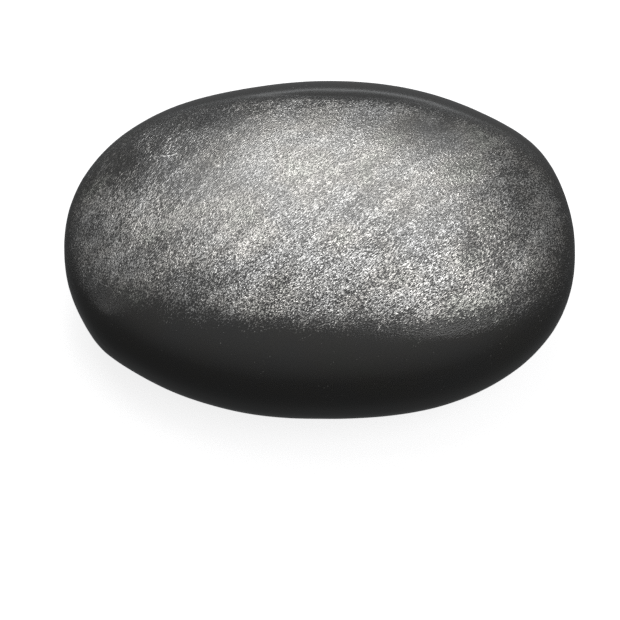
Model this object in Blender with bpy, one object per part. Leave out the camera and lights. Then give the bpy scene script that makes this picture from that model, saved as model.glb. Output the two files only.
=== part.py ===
"""Basalt massage stone: one tumbled and polished pebble of solid basalt.

Seen from above, the stone is a long oval with the few swells and flats that a river pebble keeps.
Its side profile is a full, flattened oval, domed above and below the waist. The underside is
dressed to a small flat seat, so that the stone lies still on a tray or on the skin.

Frame: metres, +Z up, +X along the stone's length, +Y across it. The origin is in the plane of the
seat, under the middle of the stone's box.
"""

import math

import bmesh
import bpy

# Driving dimensions, in metres
LENGTH = 0.0518  # overall, along X
WIDTH = 0.0358  # overall, along Y
CROWN_HEIGHT = 0.0100  # from the waist up to the top of the stone
BELLY_HEIGHT = 0.0094  # from the waist down to where the belly would end undressed
SEAT_DEPTH = 0.0004  # dressed off the belly's lowest point to make the seat

# Fullness of the curves: 2 is an ellipse, and a larger number is squarer
OUTLINE_FULLNESS = 2.18
CROWN_FULLNESS = 2.4
BELLY_FULLNESS = 2.4

# Swells and flats left in the outline by the pebble. The bearing is anticlockwise from +X. The
# rise is outwards, and negative for a flat. The spread is how far round the stone it reaches.
OUTLINE_FEATURES = (
    {"bearing": 25.5, "rise": 0.00055, "spread": 10.0},  # back right corner
    {"bearing": 117.0, "rise": -0.00035, "spread": 20.0},  # long flat at the back left
    {"bearing": 203.5, "rise": 0.00030, "spread": 5.3},  # small front left corner
    {"bearing": 220.5, "rise": -0.00082, "spread": 29.0},  # straight run beside that corner
    {"bearing": 275.0, "rise": -0.00114, "spread": 60.0},  # shallower front side
)

SURFACE_SUBDIVISIONS = 5  # of the ball that the stone is shaped from

BASALT_COLOUR = (0.060, 0.060, 0.058, 1.0)
BASALT_ROUGHNESS = 0.42
BASALT_METALLIC = 0.0


def clear_scene():
    for existing in list(bpy.data.objects):
        bpy.data.objects.remove(existing, do_unlink=True)


def basalt_material():
    material = bpy.data.materials.new("basalt")
    material.use_nodes = True
    shader = material.node_tree.nodes["Principled BSDF"]
    shader.inputs["Base Color"].default_value = BASALT_COLOUR
    shader.inputs["Roughness"].default_value = BASALT_ROUGHNESS
    shader.inputs["Metallic"].default_value = BASALT_METALLIC
    material.diffuse_color = BASALT_COLOUR
    return material


def outline_radius(bearing):
    """Distance from the middle of the stone to its outline at a bearing in radians."""
    along = abs(math.cos(bearing)) / (LENGTH / 2)
    across = abs(math.sin(bearing)) / (WIDTH / 2)
    radius = (along**OUTLINE_FULLNESS + across**OUTLINE_FULLNESS) ** (-1 / OUTLINE_FULLNESS)
    for feature in OUTLINE_FEATURES:
        off = (math.degrees(bearing) - feature["bearing"] + 180) % 360 - 180
        radius += feature["rise"] * math.exp(-((off / feature["spread"]) ** 2))
    return radius


def on_stone(direction):
    """The point of the stone's surface that a point of the unit ball moves out to."""
    level = math.hypot(direction.x, direction.y)
    bearing = math.atan2(direction.y, direction.x)
    above = direction.z > 0
    fullness = CROWN_FULLNESS if above else BELLY_FULLNESS
    height = CROWN_HEIGHT if above else BELLY_HEIGHT
    reach = (level**fullness + abs(direction.z) ** fullness) ** (-1 / fullness)
    radius = outline_radius(bearing) * level * reach
    return (
        radius * math.cos(bearing),
        radius * math.sin(bearing),
        height * direction.z * reach,
    )


def fit_between(verts, axis, size):
    """Centres the points on one axis and stretches them to their exact overall size."""
    low = min(vert.co[axis] for vert in verts)
    high = max(vert.co[axis] for vert in verts)
    for vert in verts:
        vert.co[axis] = (vert.co[axis] - (low + high) / 2) * size / (high - low)


def dress_seat(mesh):
    """Cuts the belly level at the seat, closes it with one flat face and stands it on Z = 0."""
    seat_level = SEAT_DEPTH - BELLY_HEIGHT
    cut = bmesh.ops.bisect_plane(
        mesh,
        geom=mesh.verts[:] + mesh.edges[:] + mesh.faces[:],
        plane_co=(0, 0, seat_level),
        plane_no=(0, 0, -1),
        clear_outer=True,
    )
    rim = [part for part in cut["geom_cut"] if isinstance(part, bmesh.types.BMEdge)]
    bmesh.ops.contextual_create(mesh, geom=rim)
    bmesh.ops.translate(mesh, verts=mesh.verts[:], vec=(0, 0, -seat_level))


def make_stone(collection):
    mesh = bmesh.new()
    bmesh.ops.create_icosphere(mesh, subdivisions=SURFACE_SUBDIVISIONS, radius=1.0)
    for vert in mesh.verts:
        vert.co = on_stone(vert.co.normalized())
    fit_between(mesh.verts, 0, LENGTH)
    fit_between(mesh.verts, 1, WIDTH)
    dress_seat(mesh)
    bmesh.ops.recalc_face_normals(mesh, faces=mesh.faces[:])

    data = bpy.data.meshes.new("basalt_stone")
    mesh.to_mesh(data)
    mesh.free()
    data.shade_smooth()
    data.set_sharp_from_angle(angle=math.radians(15))
    data.materials.append(basalt_material())
    stone = bpy.data.objects.new("basalt_stone", data)
    collection.objects.link(stone)
    return stone


def main():
    clear_scene()
    collection = bpy.data.collections.new("basalt_massage_stone")
    bpy.context.scene.collection.children.link(collection)
    make_stone(collection)


main()
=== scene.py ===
import math

import bmesh
import bpy
from mathutils import Matrix, Vector, noise
from mathutils.bvhtree import BVHTree


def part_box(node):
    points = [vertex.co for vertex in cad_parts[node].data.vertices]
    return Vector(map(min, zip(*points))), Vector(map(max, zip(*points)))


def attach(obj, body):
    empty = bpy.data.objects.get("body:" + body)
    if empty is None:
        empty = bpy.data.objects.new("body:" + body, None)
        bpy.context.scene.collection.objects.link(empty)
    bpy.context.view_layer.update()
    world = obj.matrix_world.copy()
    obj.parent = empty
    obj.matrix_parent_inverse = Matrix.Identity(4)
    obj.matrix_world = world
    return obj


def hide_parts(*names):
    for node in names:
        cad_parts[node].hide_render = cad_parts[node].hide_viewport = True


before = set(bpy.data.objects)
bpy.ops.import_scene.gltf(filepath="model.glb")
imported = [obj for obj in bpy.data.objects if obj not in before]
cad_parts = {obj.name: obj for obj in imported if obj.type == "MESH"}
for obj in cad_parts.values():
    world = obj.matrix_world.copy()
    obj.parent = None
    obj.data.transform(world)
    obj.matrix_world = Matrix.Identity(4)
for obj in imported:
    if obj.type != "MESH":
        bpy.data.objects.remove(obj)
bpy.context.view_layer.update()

mm = 0.001

view = {
    "elevation": 66.9,  # degrees above the floor
    "distance": 400 * mm,
    "width": 62.88 * mm,  # how much of the stone's plane the picture takes in
    "aimAside": 0.97 * mm,  # how far the stone sits right of the picture's middle
    "aimUp": 6.22 * mm,  # and above it
    "waist": 9.0 * mm,  # height of the stone's widest level
    "sensor": 36.0,
    "nearClip": 10 * mm,
    "farClip": 20.0,
}


def makeCamera():
    tilt = math.radians(view["elevation"])
    back = Vector((0, -math.cos(tilt), math.sin(tilt)))
    right = Vector((1, 0, 0))
    up = back.cross(right)
    target = Vector((0, 0, view["waist"])) - right * view["aimAside"] - up * view["aimUp"]
    lens = bpy.data.cameras.new("camera")
    lens.sensor_width = view["sensor"]
    lens.lens = view["sensor"] * view["distance"] / view["width"]
    lens.clip_start = view["nearClip"]
    lens.clip_end = view["farClip"]
    camera = bpy.data.objects.new("camera", lens)
    camera.location = target + back * view["distance"]
    camera.rotation_euler = (-back).to_track_quat("-Z", "Y").to_euler()
    bpy.context.scene.collection.objects.link(camera)
    bpy.context.scene.camera = camera


makeCamera()
print("camera placed")

shape = {
    "cuts": 125,  # across each side of the cube that the ball starts as
    "melt": 14,  # smoothing passes that take the facets off
    "meltStep": 0.5,  # how far each pass moves a point towards its neighbours
    "weld": 0.0001 * mm,  # corners of the plain solid closer than this are one corner
    "swellSize": 11 * mm,  # broad uneven rubbing
    "swellHeight": 0.05 * mm,
    "dimpleSize": 2.4 * mm,
    "dimpleHeight": 0.012 * mm,
    "seatClear": 0.6 * mm,  # the relief fades out over this height, so the seat stays flat
}


def surfaceOf(node):
    solid = bmesh.new()
    solid.from_mesh(node.data)
    bmesh.ops.remove_doubles(solid, verts=solid.verts[:], dist=shape["weld"])
    tree = BVHTree.FromBMesh(solid)
    solid.free()
    return tree


def makeBall(nodeName):
    low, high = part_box(nodeName)
    middle = (low + high) / 2
    half = (high - low) / 2
    tree = surfaceOf(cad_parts[nodeName])
    ball = bmesh.new()
    bmesh.ops.create_cube(ball, size=2)
    bmesh.ops.subdivide_edges(ball, edges=ball.edges[:], cuts=shape["cuts"], use_grid_fill=True)
    for vert in ball.verts:
        # The tangent evens out the faces of a cube that is blown up to a ball.
        way = Vector([math.tan(part * math.pi / 4) for part in vert.co]).normalized()
        way = Vector((way.x * half.x, way.y * half.y, way.z * half.z)).normalized()
        vert.co = tree.ray_cast(middle, way)[0]
    for _ in range(shape["melt"]):
        bmesh.ops.smooth_vert(ball, verts=ball.verts[:], factor=shape["meltStep"],
                              use_axis_x=True, use_axis_y=True, use_axis_z=True)
    return ball


def addRelief(ball):
    ball.normal_update()
    lowest = min(vert.co.z for vert in ball.verts)
    moves = []
    for vert in ball.verts:
        place = vert.co
        fade = min(1, max(0, (place.z - lowest) / shape["seatClear"]))
        swell = noise.noise(place / shape["swellSize"]) * shape["swellHeight"]
        dimple = noise.noise(place / shape["dimpleSize"]) * shape["dimpleHeight"]
        moves.append((swell + dimple) * fade)
    for vert, move in zip(ball.verts, moves):
        vert.co += vert.normal * move


def makeStone(nodeName):
    ball = makeBall(nodeName)
    addRelief(ball)
    bmesh.ops.translate(ball, verts=ball.verts[:], vec=(0, 0, -min(v.co.z for v in ball.verts)))
    bmesh.ops.recalc_face_normals(ball, faces=ball.faces[:])
    data = bpy.data.meshes.new("stone")
    ball.to_mesh(data)
    ball.free()
    data.shade_smooth()
    piece = bpy.data.objects.new("stone", data)
    bpy.context.scene.collection.objects.link(piece)
    return piece


stone = makeStone("basalt_stone")
print("stone shaped:", len(stone.data.polygons), "faces")

unroll = {
    "map": "OFBake",  # the map's name; the name that the export looks for
    "crown": 0.62,  # share of the map's height that the crown takes, and the belly has the rest
    "margin": 0.97,  # share of its room that each skin fills, which leaves a border
}


def unrollStone(piece, nodeName):
    # Two flat oval skins, crown above belly, each opened out from its middle like a peel.
    low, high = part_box(nodeName)
    middle = (low + high) / 2
    half = (high - low) / 2
    corners = piece.data.uv_layers.new(name=unroll["map"]).uv
    for face in piece.data.polygons:
        side = 1 if face.center.z > middle.z else -1
        height = unroll["crown"] if side > 0 else 1 - unroll["crown"]
        base = 1 - unroll["crown"] if side > 0 else 0
        for corner in face.loop_indices:
            place = piece.data.vertices[piece.data.loops[corner].vertex_index].co - middle
            x = side * place.x / half.x
            y = place.y / half.y
            flat = max(1e-9, math.hypot(x, y))  # never 0, because it divides below
            reach = math.atan2(flat, side * place.z / half.z) / math.pi * unroll["margin"]
            corners[corner].vector = (
                0.5 + x / flat * reach,
                base + height * (0.5 + y / flat * reach),
            )


unrollStone(stone, "basalt_stone")
print("stone unrolled")

# The rubbed face is lighter than the dark rim, and this map also paints light: the face fades darker
# towards the near side as painted shade, and the patches paint shade and highlight where they darken
# or lighten it.
rubAndPaintedLight = {
    "most": 0.95,  # how far the middle of the face is rubbed
    "halfLength": 24.7 * mm,  # where the rubbed face ends: along the stone,
    "farHalfWidth": 13.4 * mm,  # across it on the far side,
    "nearHalfWidth": 11.9 * mm,  # and across it on the near side
    "fullness": 2.6,  # 2 is an ellipse, and a larger number is squarer
    "turn": math.radians(-2),
    "farSoftness": 0.03,  # how gradually it ends: on the far side,
    "endSoftness": 0.14,  # at the two ends,
    "nearSoftness": 0.17,  # and on the near side
    # Places rubbed more or less than their surroundings, which are painted shade where they darken
    # the face and painted highlight where they lighten it: where, along and across in millimetres,
    # how far each reaches, and how much is added.
    "patches": [
        (-14, 9, 6, 4, -0.34),
        (-12, 12, 4, 2, -0.26),
        (13, 11, 6, 3, -0.34),
        (-20, 6, 3, 4, -0.46),
        (-19, -2, 3, 4, -0.15),
        (-17.8, -0.5, 1.6, 3, 0.16),
        (0, 12.5, 9, 2, -0.12),
        (-14, 3, 3, 4, -0.15),
        (-14, -9, 5, 3, -0.28),
        (5, 1, 4, 4, -0.10),
        (20, 4, 3, 5, -0.36),
        (19, -5, 3, 4, -0.15),
        (15, -4, 2.5, 3, -0.13),
        (-8, 12, 4, 2, -0.12),
        (13, -10, 4, 3, 0.40),
    ],
    # The fine finish is also painted sheen: it lies where the highlight's middle falls, and evens
    # out the face's colour there.
    "polishAndSheenNear": -8.0 * mm,  # the finish is coarse on the near side of this line
    "polishAndSheenFar": 5.0 * mm,  # and fine on the far side of this one,
    "polishAndSheenBack": (9.5 * mm, 12.5 * mm),  # before it coarsens again at the far edge
    "polishAndSheenEnds": (9.0 * mm, 19.0 * mm),  # and it coarsens again towards the ends
}


def smoothStep(low, high, value):
    part = min(1, max(0, (value - low) / (high - low)))
    return part * part * (3 - 2 * part)


# How rubbed each point is, with painted shade towards the near side and painted shade and highlight
# in the patches.
def rubAndPaintedLightAt(place):
    turned = place.copy()
    turned.rotate(Matrix.Rotation(-rubAndPaintedLight["turn"], 3, "Z"))
    along = abs(turned.x) / rubAndPaintedLight["halfLength"]
    if turned.y > 0:
        across = turned.y / rubAndPaintedLight["farHalfWidth"]
        softness = rubAndPaintedLight["farSoftness"]
    else:
        across = -turned.y / rubAndPaintedLight["nearHalfWidth"]
        softness = rubAndPaintedLight["nearSoftness"]
    reach = (along ** rubAndPaintedLight["fullness"] + across ** rubAndPaintedLight["fullness"]) ** (1 / rubAndPaintedLight["fullness"])
    endwise = along / max(1e-6, along + across)  # 1 at the ends and 0 at the sides
    softness += (rubAndPaintedLight["endSoftness"] - softness) * endwise
    amount = rubAndPaintedLight["most"]
    for x, y, reachX, reachY, more in rubAndPaintedLight["patches"]:
        away = ((place.x / mm - x) / reachX) ** 2 + ((place.y / mm - y) / reachY) ** 2
        amount += more * math.exp(-away)
    return min(1, max(0, amount)) * (1 - smoothStep(1 - softness, 1 + softness, reach))


# The fine finish, which is also painted sheen where the highlight's middle falls on the face.
def polishAndSheenAt(place):
    across = smoothStep(rubAndPaintedLight["polishAndSheenNear"], rubAndPaintedLight["polishAndSheenFar"], place.y)
    across *= 1 - smoothStep(*rubAndPaintedLight["polishAndSheenBack"], place.y)
    return across * (1 - smoothStep(*rubAndPaintedLight["polishAndSheenEnds"], abs(place.x)))


def paintStone(piece, name, amountAt):
    layer = piece.data.attributes.new(name, "FLOAT", "POINT")
    for vert in piece.data.vertices:
        layer.data[vert.index].value = amountAt(vert.co)


paintStone(stone, "rubAndPaintedLight", rubAndPaintedLightAt)
paintStone(stone, "polishAndSheen", polishAndSheenAt)
print("rubbed face painted")

grain = {
    "turn": math.radians(38),  # the way the strokes run, from the stone's length
    "stretch": 2.8,
    "bendFrom": -5 * mm,  # left of this the strokes curve,
    "bend": 22,  # this strongly
    "stroke": 0.115 * mm,  # width of a rubbing stroke
    "strokeDetail": 1,
    "strokeBreakup": 0.8,
    "strokeDepth": 0.13 * mm,
    "polishedDepth": 0.45,  # share of that depth left where the finish is fine
    "strokeSoftness": 0.24,  # how gradually a stroke brightens towards its crest
    "bare": 0.76,  # relief level that shows as a stroke where nothing is rubbed
    "worn": 0.38,  # and where the rubbing is strongest
    "streak": 1.1 * mm,  # width of the broader streaks
    "streakStretch": 3.5,
    "streakDetail": 2,
    "streakBreakup": 0.6,
    "streakAmount": 0.09,
    "cloud": 5 * mm,  # size of the clouds in the finish and in the colour
    "cloudDetail": 2,
    "cloudAmount": 0.04,
    "spread": (0.2, 0.8),  # part of the noise that the streaks and clouds use
    # Single scratches: middle along and across, length and width in millimetres, the way they
    # run in degrees, and how far their ends rise above their middle.
    "scratches": [
        (-15.0, 6.6, 2.0, 0.18, 6, 0.25),
        (-15.2, 8.6, 0.9, 0.16, 48, 0.0),
        (-17.2, 7.9, 0.6, 0.16, 55, 0.0),
        (-18.4, -1.2, 1.6, 0.22, 62, 0.05),
        (-18.9, -3.4, 1.2, 0.20, 60, 0.0),
        (-6.4, 10.9, 1.0, 0.18, 40, 0.0),
        (9.8, 5.2, 1.4, 0.18, 36, 0.05),
    ],
    "scratchCore": 0.3,  # share of a scratch's half width that is at full strength
    "scratchFade": 0.4,  # where it begins to fade: 0 is its middle and 1 is its ends, squared
    "matrix": (0.045, 0.0445, 0.0435, 1),  # smooth dark stone
    "crestCoarse": (0.85, 0.84, 0.815, 1),  # crests of the relief where the finish is coarse
    "crestFineAndSheen": (0.45, 0.445, 0.43, 1),  # and where it is fine, under the painted sheen
    "crestShine": 0.9,
    # The burnish is painted sheen: it lifts the colour and the metal between the strokes where the
    # fine finish lies.
    "burnishAndSheenFrom": 0.5,  # how rubbed the stone is where the burnish between the strokes starts
    "burnishAndSheen": 0.5,
    "ior": 1.6,
    "rimRoughness": 0.18,
    "faceRoughness": 0.27,
    "faceFrom": 0.6,  # how rubbed the stone is where it has the face's whole roughness
    # The clouds' tints, where 0.5 leaves the colour as it is
    "tints": [
        (0.0, (0.495, 0.50, 0.51)),
        (0.45, (0.5, 0.5, 0.498)),
        (0.7, (0.508, 0.50, 0.49)),
        (1.0, (0.50, 0.507, 0.485)),
    ],
    "tintSpread": (0.3, 0.7),  # part of the noise that the tints use
}


def addNode(tree, kind, **settings):
    node = tree.nodes.new(kind)
    for name, value in settings.items():
        setattr(node, name, value)
    return node


def addNoise(tree, place, size, detail=0.0, roughness=0.5):
    noiseNode = addNode(tree, "ShaderNodeTexNoise")
    noiseNode.inputs["Scale"].default_value = 1 / size
    noiseNode.inputs["Detail"].default_value = detail
    noiseNode.inputs["Roughness"].default_value = roughness
    tree.links.new(place, noiseNode.inputs["Vector"])
    return noiseNode


def addMath(tree, operation, first, second=0):
    result = addNode(tree, "ShaderNodeMath", operation=operation)
    for socket, value in zip(result.inputs, (first, second)):
        if isinstance(value, bpy.types.NodeSocket):
            tree.links.new(value, socket)
        else:
            socket.default_value = value
    return result.outputs["Value"]


def addRange(tree, value, fromMin, fromMax, toMin, toMax):
    span = addNode(tree, "ShaderNodeMapRange")
    span.inputs["From Min"].default_value = fromMin
    span.inputs["From Max"].default_value = fromMax
    span.inputs["To Min"].default_value = toMin
    span.inputs["To Max"].default_value = toMax
    tree.links.new(value, span.inputs["Value"])
    return span.outputs["Result"]


def addBend(tree, place):
    # Towards the left end the strokes curve round to run steeper.
    parts = addNode(tree, "ShaderNodeSeparateXYZ")
    tree.links.new(place, parts.inputs[0])
    past = addMath(tree, "ADD", parts.outputs["X"], -grain["bendFrom"])
    past = addMath(tree, "MINIMUM", past, 0)
    rise = addMath(tree, "MULTIPLY", addMath(tree, "MULTIPLY", past, past), grain["bend"])
    bent = addNode(tree, "ShaderNodeCombineXYZ")
    tree.links.new(parts.outputs["X"], bent.inputs["X"])
    tree.links.new(addMath(tree, "ADD", parts.outputs["Y"], rise), bent.inputs["Y"])
    tree.links.new(parts.outputs["Z"], bent.inputs["Z"])
    return bent.outputs["Vector"]


def addGrainPlace(tree, place, turn, stretch):
    mapping = addNode(tree, "ShaderNodeMapping", vector_type="TEXTURE")
    mapping.inputs["Rotation"].default_value = (0, 0, turn)
    mapping.inputs["Scale"].default_value = (stretch, 1, 1)
    tree.links.new(place, mapping.inputs["Vector"])
    return mapping.outputs["Vector"]


def addScratch(tree, place, x, y, length, width, turn, sag):
    # How far along a scratch a point is runs from -1 to 1, and sag bows the scratch.
    mapping = addNode(tree, "ShaderNodeMapping", vector_type="TEXTURE")
    mapping.inputs["Location"].default_value = (x * mm, y * mm, 0)
    mapping.inputs["Rotation"].default_value = (0, 0, math.radians(turn))
    mapping.inputs["Scale"].default_value = (length / 2 * mm, width / 2 * mm, 1)
    tree.links.new(place, mapping.inputs["Vector"])
    parts = addNode(tree, "ShaderNodeSeparateXYZ")
    tree.links.new(mapping.outputs["Vector"], parts.inputs[0])
    along = addMath(tree, "MULTIPLY", parts.outputs["X"], parts.outputs["X"])
    bow = addMath(tree, "MULTIPLY", along, -2 * sag / width)
    aside = addMath(tree, "ABSOLUTE", addMath(tree, "ADD", parts.outputs["Y"], bow))
    line = addRange(tree, aside, grain["scratchCore"], 1, 1, 0)
    return addMath(tree, "MULTIPLY", line, addRange(tree, along, grain["scratchFade"], 1, 1, 0))


def addStrokes(tree, relief, streaks, clouds, rubbedAndPaintedLight):
    # A stroke shows where the relief stands above a level that sinks as the rubbing grows, so where
    # the rub map paints shade fewer strokes show.
    level = addRange(tree, rubbedAndPaintedLight, 0, 1, grain["bare"], grain["worn"])
    least, most = grain["spread"]
    streakShift = addRange(tree, streaks, least, most, -grain["streakAmount"], grain["streakAmount"])
    cloudShift = addRange(tree, clouds, least, most, -grain["cloudAmount"], grain["cloudAmount"])
    shift = addMath(tree, "ADD", streakShift, cloudShift)
    raised = addMath(tree, "ADD", relief, shift)
    above = addMath(tree, "SUBTRACT", raised, level)
    return addRange(tree, above, 0, grain["strokeSoftness"], 0, grain["crestShine"])


def addBurnishAndSheen(tree, strokes, rubbedAndPaintedLight, polishedAndSheen):
    # Between the strokes the most rubbed part is burnished too, which is painted sheen where the
    # fine finish lies.
    fine = addRange(tree, polishedAndSheen, 0, 1, 0, grain["burnishAndSheen"])
    worn = addRange(tree, rubbedAndPaintedLight, grain["burnishAndSheenFrom"], 1, 0, 1)
    burnishAndSheen = addMath(tree, "MULTIPLY", fine, worn)
    rest = addMath(tree, "SUBTRACT", grain["crestShine"], strokes)
    return addMath(tree, "ADD", strokes, addMath(tree, "MULTIPLY", rest, burnishAndSheen))


def addTint(tree, clouds):
    tints = grain["tints"]
    ramp = addNode(tree, "ShaderNodeValToRGB")
    for element, (at, shade) in zip(ramp.color_ramp.elements, (tints[0], tints[-1])):
        element.position = at
        element.color = (*shade, 1)
    for at, shade in tints[1:-1]:
        element = ramp.color_ramp.elements.new(at)
        element.color = (*shade, 1)
    split = addNode(tree, "ShaderNodeSeparateColor")
    tree.links.new(clouds, split.inputs["Color"])
    where = addRange(tree, split.outputs["Green"], *grain["tintSpread"], 0, 1)
    tree.links.new(where, ramp.inputs["Fac"])
    double = addNode(tree, "ShaderNodeVectorMath", operation="SCALE")
    double.inputs["Scale"].default_value = 2
    tree.links.new(ramp.outputs["Color"], double.inputs[0])
    return double.outputs["Vector"]


def addColour(tree, crest, polishedAndSheen, tint):
    crestColour = addNode(tree, "ShaderNodeMix", data_type="RGBA")
    crestColour.inputs["A"].default_value = grain["crestCoarse"]
    crestColour.inputs["B"].default_value = grain["crestFineAndSheen"]
    tree.links.new(polishedAndSheen, crestColour.inputs["Factor"])
    colour = addNode(tree, "ShaderNodeMix", data_type="RGBA")
    colour.inputs["A"].default_value = grain["matrix"]
    tree.links.new(crestColour.outputs["Result"], colour.inputs["B"])
    tree.links.new(crest, colour.inputs["Factor"])
    tinted = addNode(tree, "ShaderNodeVectorMath", operation="MULTIPLY")
    tree.links.new(colour.outputs["Result"], tinted.inputs[0])
    tree.links.new(tint, tinted.inputs[1])
    return tinted.outputs["Vector"]


def addBump(tree, relief, rubbedAndPaintedLight, polishedAndSheen):
    bump = addNode(tree, "ShaderNodeBump")
    bump.inputs["Strength"].default_value = 1
    bump.inputs["Distance"].default_value = grain["strokeDepth"]
    left = addRange(tree, polishedAndSheen, 0, 1, 1, grain["polishedDepth"])
    depth = addMath(tree, "MULTIPLY", rubbedAndPaintedLight, left)
    tree.links.new(addMath(tree, "MULTIPLY", relief, depth), bump.inputs["Height"])
    return bump.outputs["Normal"]


def makeBasalt():
    basalt = bpy.data.materials.new("basalt")
    basalt.use_nodes = True
    tree = basalt.node_tree
    shader = tree.nodes["Principled BSDF"]
    shader.inputs["IOR"].default_value = grain["ior"]
    place = addNode(tree, "ShaderNodeTexCoord").outputs["Object"]
    # The rub map carries painted shade and highlight, and the fine-finish map carries painted sheen.
    rubbedAndPaintedLight = addNode(tree, "ShaderNodeAttribute", attribute_name="rubAndPaintedLight").outputs["Fac"]
    polishedAndSheen = addNode(tree, "ShaderNodeAttribute", attribute_name="polishAndSheen").outputs["Fac"]

    bent = addBend(tree, place)
    strokePlace = addGrainPlace(tree, bent, grain["turn"], grain["stretch"])
    relief = addNoise(tree, strokePlace, grain["stroke"],
                      grain["strokeDetail"], grain["strokeBreakup"]).outputs["Fac"]
    streakPlace = addGrainPlace(tree, bent, grain["turn"], grain["streakStretch"])
    streaks = addNoise(tree, streakPlace, grain["streak"],
                       grain["streakDetail"], grain["streakBreakup"]).outputs["Fac"]
    clouds = addNoise(tree, place, grain["cloud"], grain["cloudDetail"])

    strokes = addStrokes(tree, relief, streaks, clouds.outputs["Fac"], rubbedAndPaintedLight)
    for scratch in grain["scratches"]:
        strokes = addMath(tree, "MAXIMUM", strokes, addScratch(tree, place, *scratch))
    crest = addBurnishAndSheen(tree, strokes, rubbedAndPaintedLight, polishedAndSheen)
    colour = addColour(tree, crest, polishedAndSheen, addTint(tree, clouds.outputs["Color"]))
    roughness = addRange(tree, rubbedAndPaintedLight, 0, grain["faceFrom"],
                         grain["rimRoughness"], grain["faceRoughness"])
    tree.links.new(colour, shader.inputs["Base Color"])
    tree.links.new(crest, shader.inputs["Metallic"])
    tree.links.new(roughness, shader.inputs["Roughness"])
    tree.links.new(addBump(tree, relief, rubbedAndPaintedLight, polishedAndSheen), shader.inputs["Normal"])
    return basalt


stone.data.materials.append(makeBasalt())
print("basalt applied")

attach(stone, "root")
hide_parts("basalt_stone")

paper = {
    "halfSide": 3.0,  # metres
    "colour": (0.5, 0.5, 0.5, 1),
    "roughness": 0.9,
    "glow": 0.82,  # light of its own, which keeps the floor pale outside the soft shadow
}


def makeFloor():
    sheet = bmesh.new()
    bmesh.ops.create_grid(sheet, x_segments=1, y_segments=1, size=paper["halfSide"])
    data = bpy.data.meshes.new("floor")
    sheet.to_mesh(data)
    sheet.free()
    floor = bpy.data.objects.new("floor", data)
    bpy.context.scene.collection.objects.link(floor)
    floor.visible_diffuse = False
    floor.visible_glossy = False
    material = bpy.data.materials.new("paper")
    material.use_nodes = True
    shader = material.node_tree.nodes["Principled BSDF"]
    shader.inputs["Base Color"].default_value = paper["colour"]
    shader.inputs["Roughness"].default_value = paper["roughness"]
    shader.inputs["Specular IOR Level"].default_value = 0
    shader.inputs["Emission Color"].default_value = (1, 1, 1, 1)
    shader.inputs["Emission Strength"].default_value = paper["glow"]
    data.materials.append(material)
    return floor


makeFloor()
print("floor laid")

lighting = {
    "distance": 0.5,  # of each lamp from the stone, in metres
    # Height above the floor and turn round the stone in degrees, from the near side towards the
    # right, then the lamp's width and length in metres, and its power in watts.
    "lamps": {
        "back": (50, 175, 0.2, 0.2, 0.53),
        "backLeft": (70, 200, 0.3, 0.3, 0.55),
        "backRight": (65, 120, 0.35, 0.35, 0.20),
        "right": (60, 60, 0.3, 0.3, 0.53),
        "lowRight": (25, 95, 0.3, 0.2, 0.085),
        "lowLeft": (8, 260, 0.45, 0.2, 0.24),
    },
}


def makeLamp(name, height, turn, width, length, power):
    up = math.radians(height)
    around = math.radians(turn)
    way = Vector((math.cos(up) * math.sin(around), -math.cos(up) * math.cos(around), math.sin(up)))
    lamp = bpy.data.lights.new(name, "AREA")
    lamp.shape = "ELLIPSE"
    lamp.size = width
    lamp.size_y = length
    lamp.energy = power
    holder = bpy.data.objects.new(name, lamp)
    holder.location = way * lighting["distance"]
    holder.rotation_euler = way.to_track_quat("Z", "Y").to_euler()
    holder.visible_camera = False
    bpy.context.scene.collection.objects.link(holder)


for name, settings in lighting["lamps"].items():
    makeLamp(name, *settings)
print("lamps placed")

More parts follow.
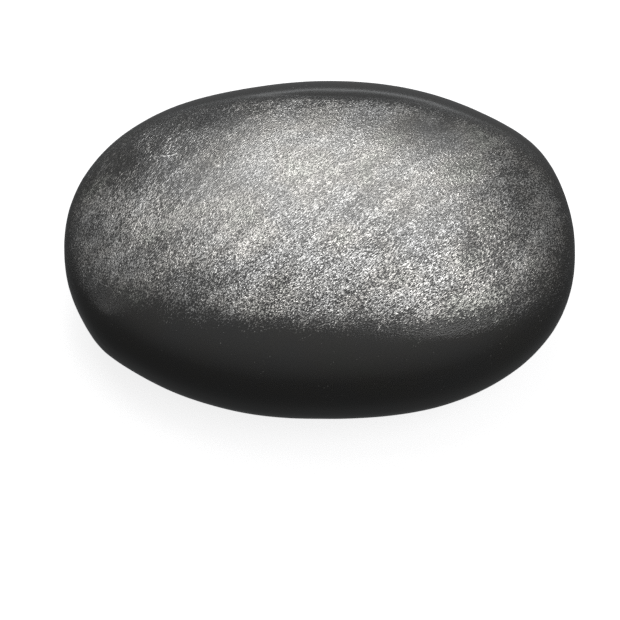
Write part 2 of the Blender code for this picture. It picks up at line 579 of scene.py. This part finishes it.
studio = {
    "above": 0.22,  # brightness straight up, which fades towards the horizon
    "below": 0.10,  # and straight down
    "behind": 0.16,  # a glow around the far horizon
    "behindFade": 2,  # how quickly it fades sideways
    "edge": 2.3,  # a bright strip along the floor's far edge
    "edgeHeight": math.radians(-10.5),
    "edgeReach": math.radians(2.6),
    "edgeSides": (0.55, 0.95),  # how far back the strip starts, and is at its full brightness
    "air": (0.975, 1, 1.015, 1),  # colour of the light
    "backdrop": (0.9, 0.9, 0.9, 1),  # what the camera sees past the floor
}


def makeWorld():
    world = bpy.data.worlds.new("studio")
    bpy.context.scene.world = world
    world.use_nodes = True
    tree = world.node_tree
    link = tree.links.new
    way = addNode(tree, "ShaderNodeSeparateXYZ")
    link(addNode(tree, "ShaderNodeTexCoord").outputs["Generated"], way.inputs[0])
    above = addRange(tree, way.outputs["Z"], 0, 1, 0, studio["above"])
    below = addRange(tree, way.outputs["Z"], -1, 0, studio["below"], 0)
    farness = addRange(tree, way.outputs["Y"], 0, 1, 0, 1)
    faded = addMath(tree, "POWER", farness, studio["behindFade"])
    behind = addMath(tree, "MULTIPLY", faded, studio["behind"])
    offset = addMath(tree, "SUBTRACT", way.outputs["Z"], math.sin(studio["edgeHeight"]))
    offset = addMath(tree, "ABSOLUTE", offset)
    strip = addRange(tree, offset, 0, math.sin(studio["edgeReach"]), studio["edge"], 0)
    strip = addMath(tree, "MULTIPLY", strip, addRange(tree, farness, *studio["edgeSides"], 0, 1))
    glow = addMath(tree, "ADD", above, below)
    glow = addMath(tree, "ADD", glow, behind)
    glow = addMath(tree, "ADD", glow, strip)
    air = tree.nodes["Background"]
    air.inputs["Color"].default_value = studio["air"]
    link(glow, air.inputs["Strength"])
    shown = addNode(tree, "ShaderNodeBackground")
    shown.inputs["Color"].default_value = studio["backdrop"]
    both = addNode(tree, "ShaderNodeMixShader")
    link(addNode(tree, "ShaderNodeLightPath").outputs["Is Camera Ray"], both.inputs["Fac"])
    link(air.outputs["Background"], both.inputs[1])
    link(shown.outputs["Background"], both.inputs[2])
    link(both.outputs["Shader"], tree.nodes["World Output"].inputs["Surface"])


makeWorld()
bpy.context.scene.view_settings.view_transform = "Standard"
bpy.context.scene.cycles.use_denoising = False  # it would wipe out the fine strokes
print("studio light set")
